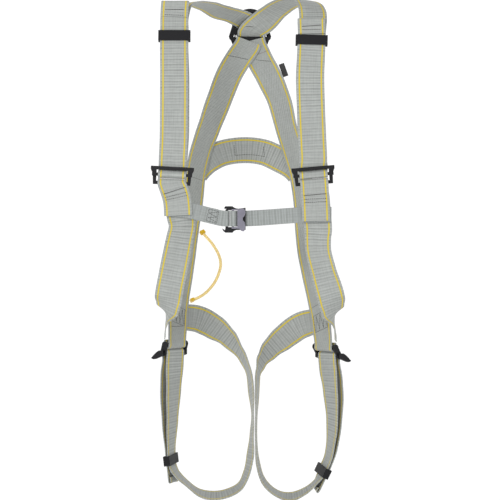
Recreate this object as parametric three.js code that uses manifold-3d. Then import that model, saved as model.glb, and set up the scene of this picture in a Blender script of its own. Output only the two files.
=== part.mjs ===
// Full-body safety harness, hanging by its dorsal ring. Millimetres, +Z up.
// The wearer would face -Y, so the wearer's right is at -X.
// Routes are measured from the body's upright axis, with z = 0 at the ring's bearing point;
// the whole group is then moved so that the bearing point is the origin.
import * as THREE from "three";
import * as BufferGeometryUtils from "three/addons/utils/BufferGeometryUtils.js";
import Module from "manifold-3d";

const wasm = await Module();
wasm.setup();

// ---- driving dimensions -------------------------------------------------------------
const WEBBING = 45; // main webbing width
const CHEST_WEBBING = 25; // chest strap width
const THICK = 1.6; // webbing thickness
const GAP = 0.45; // clear space between touching layers
const LAYER = THICK + GAP; // pitch of two webbing layers
const STIFF = 26; // distance over which webbing changes direction in its own plane
const RING_TO_AXIS = 111.5; // from the ring's plane forward to the body's axis
const RING_SECTION = { width: 8.5, depth: 6, bevel: 1.2 };
const RING_RADIUS = 31; // outside radius of the ring's bow
const RING_BAR_Z = -44; // height of the ring's straight bar
const BAR_RADIUS = 3; // bars that webbing turns round

const COLOURS = {
  webbing: [0x9fa5a2, 0.85, 0],
  narrow: [0x8f9496, 0.8, 0],
  steel: [0x17181a, 0.35, 0.8],
  plastic: [0x141416, 0.55, 0],
  anodised: [0x6d6a72, 0.35, 0.7],
  tube: [0xd9b23c, 0.3, 0],
  label: [0x101114, 0.7, 0],
};

// ---- helpers ------------------------------------------------------------------------
const harness = new THREE.Group();
harness.position.y = -RING_TO_AXIS;
const v = (x, y, z) => new THREE.Vector3(x, y, z);
const X = v(1, 0, 0);
const Z = v(0, 0, 1);

function add(name, geometry, colour, parent = harness) {
  const [color, roughness, metalness] = COLOURS[colour];
  const mesh = new THREE.Mesh(geometry, new THREE.MeshStandardMaterial({ color, roughness, metalness }));
  mesh.name = name;
  parent.add(mesh);
  return mesh;
}

// A place on a strap's route: its centre and the direction of its width.
const at = (x, y, z, wx = 1, wy = 0, wz = 0) => ({ p: v(x, y, z), w: v(wx, wy, wz).normalize() });

// Places round a bar. The angle is measured from `up` towards `out`; w lies along the bar.
function round(centre, w, up, radius, from, to, count = 7) {
  const out = new THREE.Vector3().crossVectors(w, up).normalize();
  const places = [];
  for (let i = 0; i < count; i += 1) {
    const a = THREE.MathUtils.degToRad(from + ((to - from) * i) / (count - 1));
    const p = centre.clone().addScaledVector(up, radius * Math.cos(a));
    places.push({ p: p.addScaledVector(out, radius * Math.sin(a)), w: w.clone() });
  }
  return places;
}

// Places along a route on one smooth curve. Webbing can't turn sharply in its own plane, so its
// sideways slope, the part of its direction that lies along its width, is averaged over STIFF.
function stations(route, perSpan) {
  const curve = new THREE.CatmullRomCurve3(route.map(({ p }) => p), false, "centripetal");
  const spans = route.length - 1;
  const steps = spans * perSpan;
  const list = [];
  for (let step = 0; step <= steps; step += 1) {
    const span = Math.min(Math.floor(step / perSpan), spans - 1);
    const blend = THREE.MathUtils.smoothstep(step / perSpan - span, 0, 1);
    const across = route[span].w.clone().lerp(route[span + 1].w, blend).normalize();
    const tangent = curve.getTangent(step / steps);
    const point = curve.getPoint(step / steps);
    const run = step === 0 ? 0 : list[step - 1].run + point.distanceTo(list[step - 1].point);
    list.push({ point, tangent, across, run, slope: across.dot(tangent) });
  }
  return list.map(({ point, tangent, across, run }) => {
    let sum = 0;
    let total = 0;
    for (let i = 1; i < list.length; i += 1) {
      const middle = (list[i].run + list[i - 1].run) / 2;
      const weight = Math.max(0, 1 - Math.abs(middle - run) / STIFF) * (list[i].run - list[i - 1].run);
      sum += (weight * (list[i].slope + list[i - 1].slope)) / 2;
      total += weight;
    }
    const width = across.clone().addScaledVector(tangent, -sum / total).normalize();
    return { point, width, normal: new THREE.Vector3().crossVectors(tangent, width).normalize() };
  });
}

// Splits the quads of a bent box's lower face the same way as the upper face's, so that the
// two stay parallel where the webbing twists.
function splitAlike(box) {
  const { start, count } = box.groups[3];
  for (let i = start; i < start + count; i += 6) {
    const [a, b, d, , c] = box.index.array.slice(i, i + 6);
    box.index.array.set([a, b, c, a, c, d], i);
  }
}

// Webbing: a box bent along the stations of its route.
function webbing(route, width = WEBBING, thickness = THICK, perSpan = 3) {
  const places = stations(route, perSpan);
  const steps = places.length - 1;
  const box = new THREE.BoxGeometry(width, thickness, 1, 1, 1, steps);
  const position = box.attributes.position;
  for (let i = 0; i < position.count; i += 1) {
    const { point, width: across, normal } = places[Math.round((position.getZ(i) + 0.5) * steps)];
    const place = point.clone().addScaledVector(across, position.getX(i));
    place.addScaledVector(normal, position.getY(i));
    position.setXYZ(i, place.x, place.y, place.z);
  }
  splitAlike(box);
  box.computeVertexNormals();
  return box;
}

function outline(points) {
  return new THREE.Shape(points.map(([x, y]) => new THREE.Vector2(x, y)));
}

function rectangle(width, height, x = 0, y = 0) {
  return [
    [x - width / 2, y - height / 2],
    [x + width / 2, y - height / 2],
    [x + width / 2, y + height / 2],
    [x - width / 2, y + height / 2],
  ];
}

// A plate of a given thickness, drawn in X and Z and centred on Y = 0.
function plate(shape, thickness, bevel = 0) {
  const geometry = new THREE.ExtrudeGeometry(shape, {
    depth: thickness - 2 * bevel,
    bevelEnabled: bevel > 0,
    bevelThickness: bevel,
    bevelSize: bevel,
    bevelOffset: -bevel,
    bevelSegments: 1,
    curveSegments: 10,
  });
  geometry.translate(0, 0, -thickness / 2 + bevel);
  return geometry.rotateX(Math.PI / 2);
}

function bar(radius, length, sides = 16) {
  return new THREE.CylinderGeometry(radius, radius, length, sides).rotateZ(Math.PI / 2);
}

function solid(geometry) {
  const bare = geometry.clone();
  bare.deleteAttribute("normal");
  bare.deleteAttribute("uv");
  const merged = BufferGeometryUtils.mergeVertices(bare, 1e-4);
  const vertProperties = new Float32Array(merged.attributes.position.array);
  const triVerts = new Uint32Array(merged.index.array);
  return new wasm.Manifold(new wasm.Mesh({ numProp: 3, vertProperties, triVerts }));
}

function surface(manifold) {
  const mesh = manifold.getMesh();
  const geometry = new THREE.BufferGeometry();
  geometry.setAttribute("position", new THREE.BufferAttribute(new Float32Array(mesh.vertProperties), 3));
  geometry.setIndex(new THREE.BufferAttribute(new Uint32Array(mesh.triVerts), 1));
  geometry.computeVertexNormals();
  return geometry;
}

const joined = (first, ...rest) => surface(rest.reduce((sum, g) => sum.add(solid(g)), solid(first)));

// ---- dorsal plate and ring ----------------------------------------------------------
const RING_Y = RING_TO_AXIS;
const PLATE = { width: 68, height: 28, thickness: 3.5, y: 103, z: -40 };

function dorsalRing() {
  const { width, depth, bevel } = RING_SECTION;
  const foot = RING_RADIUS + 6;
  const bow = -(RING_RADIUS - width);
  const barLow = RING_BAR_Z - depth / 2;
  const barHigh = RING_BAR_Z + depth / 2;
  const shape = new THREE.Shape();
  shape.moveTo(-foot, barLow);
  shape.lineTo(foot, barLow);
  shape.lineTo(foot, barHigh);
  shape.lineTo(RING_RADIUS, bow);
  shape.absarc(0, bow, RING_RADIUS, 0, Math.PI, false);
  shape.lineTo(-foot, barHigh);
  const eye = new THREE.Path();
  const inside = RING_RADIUS - width;
  eye.moveTo(-foot + width, barHigh);
  eye.lineTo(foot - width, barHigh);
  eye.lineTo(inside, bow);
  eye.absarc(0, bow, inside, 0, Math.PI, false);
  shape.holes.push(eye);
  return plate(shape, depth, bevel);
}

function dorsalPlate() {
  const { width, height, thickness } = PLATE;
  const half = width / 2;
  const top = height / 2;
  const shape = outline([
    [-half + 4, -top],
    [half - 4, -top],
    [half, -top + 10],
    [half - 2, top],
    [-half + 2, top],
    [-half, -top + 10],
  ]);
  shape.holes.push(outline(rectangle(WEBBING + 4, 4.5)));
  shape.holes.push(outline(rectangle(3.5, 4, -half + 5.5, 1)));
  shape.holes.push(outline(rectangle(3.5, 4, half - 5.5, 1)));
  return plate(shape, thickness);
}

add("dorsal_ring", dorsalRing(), "steel").position.set(0, RING_Y, 0);
add("dorsal_plate", dorsalPlate(), "plastic").position.set(0, PLATE.y, PLATE.z);

// ---- shoulder adjusters -------------------------------------------------------------
const ADJUSTER = { y: -114, z: -288.5, width: 69, height: 29, foot: 60, thickness: 3.4, edge: 5.5 };
const SLIDE = { height: 5, depth: 3.6, lift: 1.5, reach: 5 };
const SLOT = WEBBING + 5; // opening that takes the webbing's width
const ADJUSTER_X = { right: -124.5, left: 101.5 };
const LEAN = { right: 3, left: -5 }; // degrees about Y

function adjusterFrame() {
  const { width, height, foot, thickness, edge } = ADJUSTER;
  const top = height / 2;
  const shape = outline([
    [-foot / 2, -top],
    [foot / 2, -top],
    [foot / 2 + 1, 2],
    [width / 2, top - 5],
    [width / 2, top],
    [-width / 2, top],
    [-width / 2, top - 5],
    [-foot / 2 - 1, 2],
  ]);
  shape.holes.push(outline(rectangle(SLOT, height - 2 * edge)));
  return plate(shape, thickness, 0.5);
}

// A floating bar whose forked ends straddle the frame's side arms.
function slideBar() {
  const { height, depth, reach } = SLIDE;
  const inner = SLOT / 2 - 0.4;
  const outer = inner + reach + 2.5;
  const fork = ADJUSTER.thickness / 2 + 0.35;
  const quarter = [
    [inner - 1.7, depth / 2],
    [inner - 1.7, fork + 1.8],
    [outer, fork + 1.8],
    [outer, fork],
    [inner, fork],
  ];
  const flipX = ([x, y]) => [-x, y];
  const flipY = ([x, y]) => [x, -y];
  const right = [...quarter.map(flipY), ...[...quarter].reverse()];
  const left = [...right].reverse().map(flipX);
  const geometry = new THREE.ExtrudeGeometry(outline([...right, ...left]), { depth: height, bevelEnabled: false });
  return geometry.translate(0, 0, -height / 2);
}

for (const side of ["right", "left"]) {
  const place = new THREE.Group();
  place.position.set(ADJUSTER_X[side], ADJUSTER.y, ADJUSTER.z);
  place.rotation.y = THREE.MathUtils.degToRad(LEAN[side]);
  harness.add(place);
  add(`shoulder_buckle_${side}`, adjusterFrame(), "steel", place);
  add(`slide_bar_${side}`, slideBar(), "steel", place).position.z = SLIDE.lift;
}

// Directions of an adjuster: along its bars, and up its frame.
function adjusterAxes(side) {
  const a = THREE.MathUtils.degToRad(LEAN[side]);
  return { w: v(Math.cos(a), 0, -Math.sin(a)), up: v(Math.sin(a), 0, Math.cos(a)) };
}

// Webbing turning round a bar `lift` above the middle of an adjuster's frame.
function adjusterTurn(side, lift, radius, from, to, count) {
  const { w, up } = adjusterAxes(side);
  const centre = v(ADJUSTER_X[side], ADJUSTER.y, ADJUSTER.z).addScaledVector(up, lift);
  return round(centre, w, up, radius, from, to, count);
}

// ---- shoulder straps ----------------------------------------------------------------
const SLIDE_TURN = 5.1; // path radius round the slide bar
const RING_TURN = 5.3; // path radius round the ring's bar, for the strap nearest to it
const TAILS = {
  right: [
    at(-122, -89.7, -31),
    at(-121.2, -85.4, -12),
    at(-120.7, -83.6, -5.5),
    at(-120.7, -81.8, -6),
    at(-121.2, -83.2, -12),
    at(-122, -87.5, -31),
    at(-122, -99.5, -82),
    at(-121.5, -108.6, -130),
    at(-121.5, -112.6, -180),
    at(-122, -112.8, -230),
    at(-123.4, -111.4, -262),
  ],
  left: [
    at(99.5, -94.2, -59),
    at(99, -89.5, -41),
    at(99, -87.6, -34.5),
    at(99, -85.8, -35),
    at(99, -87.2, -41),
    at(99.5, -92, -59),
    at(98, -100, -94),
    at(96.5, -107, -130),
    at(97.5, -112.2, -180),
    at(99.5, -112.8, -230),
    at(101, -111.4, -262),
  ],
};
const LOADS = {
  right: [
    at(-123.8, -108.9, -276, 1, 0, -0.05),
    at(-122, -109.2, -255),
    at(-119.8, -109.8, -220),
    at(-119.4, -109.6, -180),
    at(-119.6, -105.8, -130),
    at(-121.4, -96.7, -82),
    at(-121.3, -90.2, -55),
    at(-121.2, -84.6, -31),
    at(-115, -66, -12, 0.97, -0.2, 0.1),
    at(-104, -36, -2, 0.9, -0.4, 0.05),
    at(-88, -4, 2, 0.85, -0.5, 0.05),
    at(-68, 30, 1, 0.75, -0.62, 0.15),
    at(-46, 62, -5, 0.6, -0.7, 0.35),
    at(-30, 75, -7.5, 0.6, -0.7, 0.35),
    at(-16, 83.5, -12, 0.7, -0.6, 0.35),
    at(-7, 89.5, -16, 0.85, -0.4, 0.25),
    at(-2.5, 95, -18.8, 0.95, -0.2, 0.1),
    at(-1, 101, -20.8),
    at(-1, 105.4, -24.2),
    at(-1, 106.8, -29.5),
  ],
  left: [
    at(101.8, -108.9, -276, 1, 0, 0.09),
    at(100, -109.2, -255),
    at(98.6, -109.8, -220),
    at(97.4, -109.2, -180),
    at(96, -104.4, -130),
    at(98, -97.2, -94),
    at(99.6, -89.2, -59),
    at(102, -79, -30),
    at(99, -60, -10, 0.98, 0.15, -0.1),
    at(90, -34, 3, 0.92, 0.38, -0.1),
    at(76, -6, 6, 0.88, 0.46, -0.15),
    at(60, 26, 5, 0.86, 0.46, -0.22),
    at(42, 56, -3, 0.85, 0.4, -0.3),
    at(23, 76, -18, 0.84, 0.2, -0.5),
    at(6, 88, -30, 0.96, 0.05, -0.15),
    at(1, 93.5, -35.4),
    at(1, 99, -39.4),
    at(1, 103, -40.2),
  ],
};
// The sewn ends behind the dorsal plate, under the tops of the back straps.
const ENDS = {
  right: [at(-1, 118.6, -52), at(0.5, 118.6, -60), at(5, 118.6, -70), at(12, 118.6, -82)],
  left: [at(1, 115.9, -52), at(-0.5, 115.9, -60), at(-5, 115.9, -70), at(-12, 115.9, -82)],
};

// Down behind the adjuster's top bar and forward under it, over the slide bar.
function underTopBar(side) {
  const { w, up } = adjusterAxes(side);
  const centre = v(ADJUSTER_X[side], 0, ADJUSTER.z);
  const steps = [
    [-110.9, 15],
    [-110.9, 10],
    [-111.3, 8.2],
    [-112.5, 7],
  ];
  return steps.map(([y, lift]) => {
    const p = centre.clone().addScaledVector(up, lift);
    p.y = y;
    return { p, w };
  });
}

function shoulderRoute(side) {
  const slideTurn = adjusterTurn(side, SLIDE.lift, SLIDE_TURN, 10, 270, 9);
  const radius = side === "left" ? RING_TURN : RING_TURN + 2.5;
  const x = side === "left" ? 1 : -1;
  const last = side === "left" ? -120 : -115;
  const ringTurn = round(v(x, RING_Y, RING_BAR_Z), X, Z, radius, 30, last, 10);
  return [...TAILS[side], ...underTopBar(side), ...slideTurn, ...LOADS[side], ...ringTurn, ...ENDS[side]];
}

for (const side of ["right", "left"]) {
  add(`shoulder_strap_${side}`, webbing(shoulderRoute(side)), "webbing");
}

// ---- front straps -------------------------------------------------------------------
const FOOT_TURN = 5.4; // path radius round an adjuster's lower bar
const FRONTS = {
  right: {
    end: [at(-114.5, -120.4, -352), at(-115, -120.8, -338), at(-117, -119.6, -324), at(-120, -117.8, -314)],
    run: [
      at(-120, -113.2, -312),
      at(-117.5, -115.2, -322),
      at(-114, -115.2, -338),
      at(-110.5, -114.6, -353, 1, 0, 0),
      at(-108.5, -112.6, -368, 0.93, 0.36, 0),
      at(-112, -108, -386, 0.95, 0.3, 0),
      at(-116.5, -104, -408, 0.98, 0.2, 0),
      at(-123, -98, -440, 1, 0, 0),
      at(-130.5, -90, -478, 1, -0.05, 0.05),
      at(-133.5, -76, -500, 0.8, -0.6, 0),
      at(-135, -66, -517, 0.14, -1, 0),
      at(-137, -61, -530, 0.06, -1, 0),
      at(-138, -60, -540, 0.03, -1, 0),
      at(-138.4, -60, -550, 0.03, -1, 0),
    ],
  },
  left: {
    end: [at(105.5, -120.4, -361), at(105, -120.8, -345), at(104.4, -119.6, -327), at(103.4, -117.8, -315)],
    run: [
      at(103, -113.2, -312),
      at(104.5, -115.2, -322),
      at(106, -115.2, -340),
      at(107.6, -114.8, -358, 1, 0, 0),
      at(109, -111.8, -374, 0.98, -0.18, 0),
      at(108.5, -108, -388, 0.92, -0.38, 0),
      at(109.5, -104, -408, 0.9, -0.42, 0),
      at(117.5, -98, -440, 0.92, -0.38, 0),
      at(130, -90, -482, 0.97, 0, 0.1),
      at(134.5, -76, -504, 0.8, 0.6, 0),
      at(136, -66, -521, 0.14, 1, 0),
      at(138, -61, -534, 0.03, 1, 0),
      at(139, -60, -544, 0, 1, 0),
      at(139.4, -60, -554.5, 0, 1, 0),
    ],
  },
};

for (const side of ["right", "left"]) {
  const lift = 0.75 - (ADJUSTER.height - ADJUSTER.edge) / 2;
  const turn = adjusterTurn(side, lift, FOOT_TURN, 90, -90, 7);
  add(`front_strap_${side}`, webbing([...FRONTS[side].end, ...turn, ...FRONTS[side].run]), "webbing");
}

// ---- leg buckles: places of their bars ------------------------------------------------
const LEG_BUCKLE = {
  right: { w: v(0.6, 0.8, 0), upper: v(-123.3, -24.1, -562), lower: v(-126.5, -21.7, -575.5) },
  left: { w: v(0.6, -0.8, 0), upper: v(124, -24.1, -567), lower: v(130.4, -19.3, -580.5) },
};
// the webbing hangs loose round each bar, towards the other one
const BAR_TURN = BAR_RADIUS + 2 * GAP + THICK / 2;
const BAR_SLACK = 1;

// ---- back straps --------------------------------------------------------------------
const BACKS = {
  right: [
    at(-2.2, 97.3, -48.2),
    at(-2.6, 97.3, -52),
    at(-5.2, 97.2, -58),
    at(-11, 97.2, -66.5),
    at(-21, 97.2, -81, 1, 0.03, 0),
    at(-36, 98, -107, 1, 0.1, 0),
    at(-53, 99.6, -150, 1, 0.3, 0),
    at(-71, 99, -199, 1, 0.6, 0),
    at(-84, 96.5, -236, 1, 0.8, 0),
    at(-92.5, 90, -274, 1, 0.9, 0),
    at(-97, 80, -322, 1, 0.95, 0),
    at(-103, 66, -359, 1, 0.85, 0),
    at(-109, 47, -407, 1, 0.85, 0),
    at(-113, 30, -440, 1, 0.9, 0),
    at(-117.5, 6, -482, 1, 1.1, 0),
    at(-119.2, -10, -515, 1, 1.25, 0),
    at(-119.5, -22, -540, 0.6, 0.8, 0),
    at(-119.7, -26.5, -556, 0.6, 0.8, 0),
  ],
  left: [
    at(4.2, 99.9, -47),
    at(4.4, 99.9, -51),
    at(6.5, 99.9, -58),
    at(11, 99.9, -68),
    at(18.5, 100, -84, 1, -0.03, 0),
    at(31, 100, -107, 1, -0.15, 0),
    at(50, 100, -150, 1, -0.5, 0),
    at(62.5, 99, -199, 1, -0.7, 0),
    at(74, 96.5, -236, 1, -0.7, 0),
    at(85, 90, -274, 1, -0.75, 0),
    at(92, 79, -326, 1, -0.85, 0),
    at(94, 66, -364, 1, -0.87, 0),
    at(98, 47, -407, 1, -0.88, 0),
    at(104, 30, -440, 1, -0.9, 0),
    at(112, 6, -486, 1, -1.1, 0),
    at(117, -10, -519, 1, -1.25, 0),
    at(119.4, -22, -545, 0.6, -0.8, 0),
    at(120.5, -26.4, -561, 0.6, -0.8, 0),
  ],
};

// From the inner face of a leg buckle's bar, under it and up its outer face.
function legBarTurn(side, which, from, to, count = 7) {
  const { w } = LEG_BUCKLE[side];
  const inward = new THREE.Vector3().crossVectors(w, Z);
  const centre = LEG_BUCKLE[side][which].clone().addScaledVector(Z, -BAR_SLACK);
  const turn = round(centre, w, Z, BAR_TURN, from, to, count);
  return { turn, outward: inward.negate() };
}

for (const side of ["right", "left"]) {
  const { turn, outward } = legBarTurn(side, "upper", 90, 270);
  const back = BACKS[side];
  const end = turn.at(-1);
  const sewn = [4, 9].map((rise) => ({ p: end.p.clone().add(v(0, 0, rise)), w: end.w }));
  add(`back_strap_${side}`, webbing([...back, ...turn, ...sewn]), "webbing");
}

// ---- back cross strap and label -----------------------------------------------------
const CROSS = [
  at(-90, 105, -272, 0, 0, 1),
  at(-80, 110, -260, 0, 0, 1),
  at(-66, 115.5, -249, 0, 0, 1),
  at(-46, 119.5, -239.5, 0, 0, 1),
  at(-10, 122, -234.5, 0, 0, 1),
  at(24, 121, -238.5, 0, 0, 1),
  at(50, 116.5, -250.5, 0, 0, 1),
  at(70, 109, -262, 0, 0, 1),
  at(80, 104, -272, 0, 0, 1),
];
add("back_cross_strap", webbing(CROSS), "webbing");

const LABEL = { width: 9.5, height: 23, thickness: 1.2 };
const label = add("label_tab", new THREE.BoxGeometry(LABEL.width, LABEL.thickness, LABEL.height), "label");
label.position.set(57.5, 98.5, -98.5);
label.rotation.y = THREE.MathUtils.degToRad(-20);

// ---- leg straps ---------------------------------------------------------------------
const LEGS = {
  right: {
    // from the hip under the seat, down inside the thigh, round below and up outside it
    load: [
      at(-131, -18, -515, 0.05, 0.45, 0.9),
      at(-123, -7.5, -516.5, 0.05, 0.45, 0.9),
      at(-108.5, 11, -519, 0.1, 0.4, 0.9),
      at(-86, 29, -523, 0.2, 0, 1),
      at(-62, 40, -536, 0.3, -0.3, 0.85),
      at(-37, 42, -555, 0.35, -0.65, 0.65),
      at(-15, 33, -582, 0.25, -0.9, 0.3),
      at(-3, 20, -608, 0.2, -1, 0.1),
      at(1.8, 9, -640, 0.22, -1, 0),
      at(4.4, 2, -682, 0.07, -1, 0),
      at(2.9, -3, -713, 0.13, -1, 0),
      at(0.5, -6, -747, 0.25, -1, -0.03),
      at(-5.5, -8, -776, 0.2, -1, -0.1),
      at(-16, -10, -797, 0.12, -1, -0.15),
      at(-34, -12, -808, 0.06, -1, -0.2),
      at(-60, -13, -813, 0, -0.97, -0.2),
      at(-84, -13.5, -808, 0.1, -0.97, -0.2),
      at(-106, -13.5, -791, 0.1, -0.97, -0.2),
      at(-119, -13.5, -779, -0.1, -0.98, -0.1),
      at(-126.4, -13.5, -767, -0.2, -0.97, -0.05),
      at(-129.4, -13.4, -752, -0.24, -0.97, 0),
      at(-130, -14, -735, -0.26, -0.97, 0),
      at(-128, -17, -690, -0.37, -0.93, 0),
      at(-125.6, -21, -637, -0.5, -0.87, 0),
      at(-123.9, -24, -600, -0.6, -0.8, 0),
      at(-123.2, -24.3, -585, -0.6, -0.8, 0),
    ],
    // the free tail, down outside the load side to the folded end
    tail: [
      at(-130.2, -18.9, -587, -0.6, -0.8, 0),
      at(-133, -16, -604, -0.58, -0.81, 0),
      at(-136, -15.5, -637, -0.5, -0.87, 0),
      at(-136, -13, -690, -0.37, -0.93, 0),
      at(-133.6, -13, -735, -0.26, -0.97, 0),
      at(-132.2, -12.8, -752, -0.24, -0.97, 0),
      at(-130.2, -12.4, -770, -0.24, -0.97, 0),
      at(-127.6, -10, -790, -0.24, -0.97, 0.05),
      at(-126.2, -9.8, -790.5, -0.24, -0.97, 0.05),
      at(-125.4, -10.4, -787, -0.24, -0.97, 0.05),
      at(-126, -10.8, -781, -0.24, -0.97, 0.05),
    ],
  },
  left: {
    load: [
      at(129.6, -18, -520, -0.05, 0.45, 0.9),
      at(121.6, -7.5, -522, -0.05, 0.45, 0.9),
      at(106.5, 10, -526.5, -0.1, 0.4, 0.9),
      at(84, 25, -534, -0.25, 0, 1),
      at(57, 36, -554, -0.4, -0.3, 0.85),
      at(34, 36, -574, -0.45, -0.6, 0.6),
      at(19.5, 30, -593, -0.35, -0.85, 0.3),
      at(13.6, 22, -612, -0.18, -1, 0.1),
      at(11.8, 9, -648, -0.14, -1, 0),
      at(10.4, 2, -688, -0.06, -1, 0),
      at(10.4, -4, -726, -0.06, -1, 0),
      at(13.5, -8, -762, -0.12, -1, -0.03),
      at(23, -10, -790, -0.1, -1, -0.1),
      at(42, -12, -808, -0.05, -1, -0.12),
      at(66, -13, -815, 0, -0.97, -0.2),
      at(90, -13.5, -806, -0.1, -0.97, -0.2),
      at(107, -13.4, -792, -0.05, -0.97, -0.15),
      at(116, -13.4, -779.5, 0.15, -0.98, -0.08),
      at(121.8, -13.4, -767.5, 0.22, -0.97, -0.1),
      at(128.4, -13.7, -752, 0.23, -0.97, -0.05),
      at(132.4, -14, -733, 0.26, -0.97, 0),
      at(135.4, -17, -690, 0.37, -0.93, 0),
      at(132.4, -20, -640, 0.5, -0.87, 0),
      at(128.6, -22, -606, 0.6, -0.8, 0),
      at(127.2, -21.9, -590, 0.6, -0.8, 0),
    ],
    tail: [
      at(134, -16.6, -592, 0.6, -0.8, 0),
      at(137.6, -14.5, -609, 0.58, -0.81, 0),
      at(142.2, -14, -642, 0.5, -0.87, 0),
      at(142.4, -13, -690, 0.37, -0.93, 0),
      at(137, -12.8, -735, 0.28, -0.97, 0),
      at(131.6, -12.8, -753.4, 0.23, -0.97, -0.05),
      at(124.6, -12.7, -769, 0.22, -0.97, -0.1),
      at(118.8, -12.4, -781, 0.22, -0.97, -0.1),
      at(109.4, -10.6, -803, 0.12, -0.97, -0.1),
      at(107.6, -10.4, -802.6, 0.12, -0.97, -0.1),
      at(107.6, -10.6, -799.5, 0.12, -0.97, -0.1),
      at(109.2, -10.8, -796.5, 0.12, -0.97, -0.1),
    ],
  },
};

for (const side of ["right", "left"]) {
  const { load, tail } = LEGS[side];
  const { w, lower } = LEG_BUCKLE[side];
  const along = side === "right" ? w.clone().negate() : w;
  const inner = side === "right" ? -90 : 90;
  const centre = lower.clone().addScaledVector(Z, BAR_SLACK);
  const turn = round(centre, along, Z, BAR_TURN, inner, -inner, 7);
  add(`leg_strap_${side}`, webbing([...load, ...turn, ...tail]), "webbing");
}

// ---- chest straps -------------------------------------------------------------------
const CHEST = { y: -116.5, z: -357, thickness: 3.4, hook: -37, tongue: -27.3, tongueY: -120.2 };
const CHEST_TURN = 3.9; // path radius round the flat bars of the chest buckle
const FRONT = v(0, -1, 0);
const flat = (x, y, z) => at(x, y, z, 0, 0, 1);

const chestRight = [
  flat(-132, -118, -341),
  flat(-112, -118, -342),
  flat(-90, -118, -345.5),
  flat(-64, -118.8, -352),
  flat(-46, -120, -356.2),
  ...round(v(CHEST.hook, CHEST.y, -356.9), Z, FRONT, CHEST_TURN, -20, 200, 7),
  flat(-46, -113.2, -356.2),
  flat(-58, -115.9, -353.2),
  flat(-72, -116, -350.2),
];
const chestLeft = [
  flat(130, -118.3, -350.5),
  flat(108, -118.2, -350.5),
  flat(84, -117.4, -351),
  flat(58, -116, -352.6),
  flat(30, -114.6, -354.6),
  flat(2, -113.6, -356.2),
  flat(-11, -113.5, -356.8),
  flat(-17.4, -114.8, -357),
  flat(-21.4, -118.6, -357),
  ...round(v(CHEST.tongue, CHEST.tongueY, -357), Z, FRONT, CHEST_TURN, 50, -170, 8),
  flat(-23.4, -113.9, -357),
  flat(-16.5, -111.6, -357),
  flat(-8, -111.3, -356.8),
  flat(14, -111.8, -355.8),
  flat(36, -112.6, -354.2),
];
add("chest_strap_right", webbing(chestRight, CHEST_WEBBING, 1.5), "narrow");
add("chest_strap_left", webbing(chestLeft, CHEST_WEBBING, 1.5), "narrow");

// A plate buckle frame: a bar for the sewn strap, a catch bar, and two swept release wings.
function chestFrame() {
  const shape = new THREE.Shape();
  shape.moveTo(-39.2, -14.5);
  shape.lineTo(-40, -18.5);
  shape.lineTo(-44, -15.5);
  shape.quadraticCurveTo(-44.5, -19, -39, -22.4);
  shape.lineTo(-28, -22.4);
  shape.quadraticCurveTo(-25, -18, -20, -18);
  shape.lineTo(-7, -18);
  shape.lineTo(-7, 17.5);
  shape.lineTo(-18, 16);
  shape.quadraticCurveTo(-24, 16, -28, 19.8);
  shape.lineTo(-39, 19.8);
  shape.quadraticCurveTo(-42, 18, -40.5, 15.5);
  shape.lineTo(-37.5, 15.8);
  shape.lineTo(-39.2, 14);
  const window = outline([
    [-34.8, -13.4],
    [-12, -13.4],
    [-12, 13.4],
    [-34.8, 13.4],
  ]);
  shape.holes.push(window);
  return plate(shape, CHEST.thickness);
}

// The tongue: a bar that the free strap turns round, and a two-lobed finger grip.
function chestTongue() {
  const shape = new THREE.Shape();
  shape.moveTo(-29.2, -16);
  shape.lineTo(-17, -16);
  shape.quadraticCurveTo(-14, -21, -9.5, -20);
  shape.quadraticCurveTo(-6.5, -16, -8, -8);
  shape.quadraticCurveTo(-9, -4, -11.5, -3.4);
  shape.lineTo(-11.5, 2);
  shape.quadraticCurveTo(-9, 3, -8, 7);
  shape.quadraticCurveTo(-6.5, 12, -9.5, 15.4);
  shape.quadraticCurveTo(-14, 16.6, -17, 15);
  shape.lineTo(-29.2, 15);
  const slot = outline([
    [-25.4, -13.1],
    [-20, -13.1],
    [-20, 13.1],
    [-25.4, 13.1],
  ]);
  shape.holes.push(slot);
  return plate(shape, CHEST.thickness);
}

add("chest_buckle_frame", chestFrame(), "steel").position.set(0, CHEST.y, CHEST.z);
add("chest_buckle_tongue", chestTongue(), "anodised").position.set(0, CHEST.tongueY, CHEST.z);

// ---- leg buckles --------------------------------------------------------------------
// Drawn with X along the bars and Y towards the outside of the leg, then turned into place.
const LEG_FRAME = { inside: 24.5, side: 3, lug: 5.5 };
const WING = { thickness: 4, reach: 21 };

function sidePlate(x, drop) {
  const { lug } = LEG_FRAME;
  const shape = new THREE.Shape();
  shape.absarc(0, 0, lug, Math.PI * 1.1, 0, true);
  shape.lineTo(drop.y + lug, drop.z);
  shape.absarc(drop.y, drop.z, lug, 0, -Math.PI, true);
  const hole = new THREE.Path();
  hole.absarc(drop.y, drop.z, BAR_RADIUS + 0.3, 0, Math.PI * 2, false);
  shape.holes.push(hole);
  const geometry = new THREE.ExtrudeGeometry(shape, { depth: LEG_FRAME.side, bevelEnabled: false, curveSegments: 8 });
  return geometry.rotateX(Math.PI / 2).rotateZ(Math.PI / 2).translate(x, 0, 0);
}

function legFrame(drop) {
  const { inside, side } = LEG_FRAME;
  const upper = bar(BAR_RADIUS, 2 * (inside + side) - 1);
  return joined(upper, sidePlate(inside, drop), sidePlate(-inside - side, drop));
}

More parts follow.
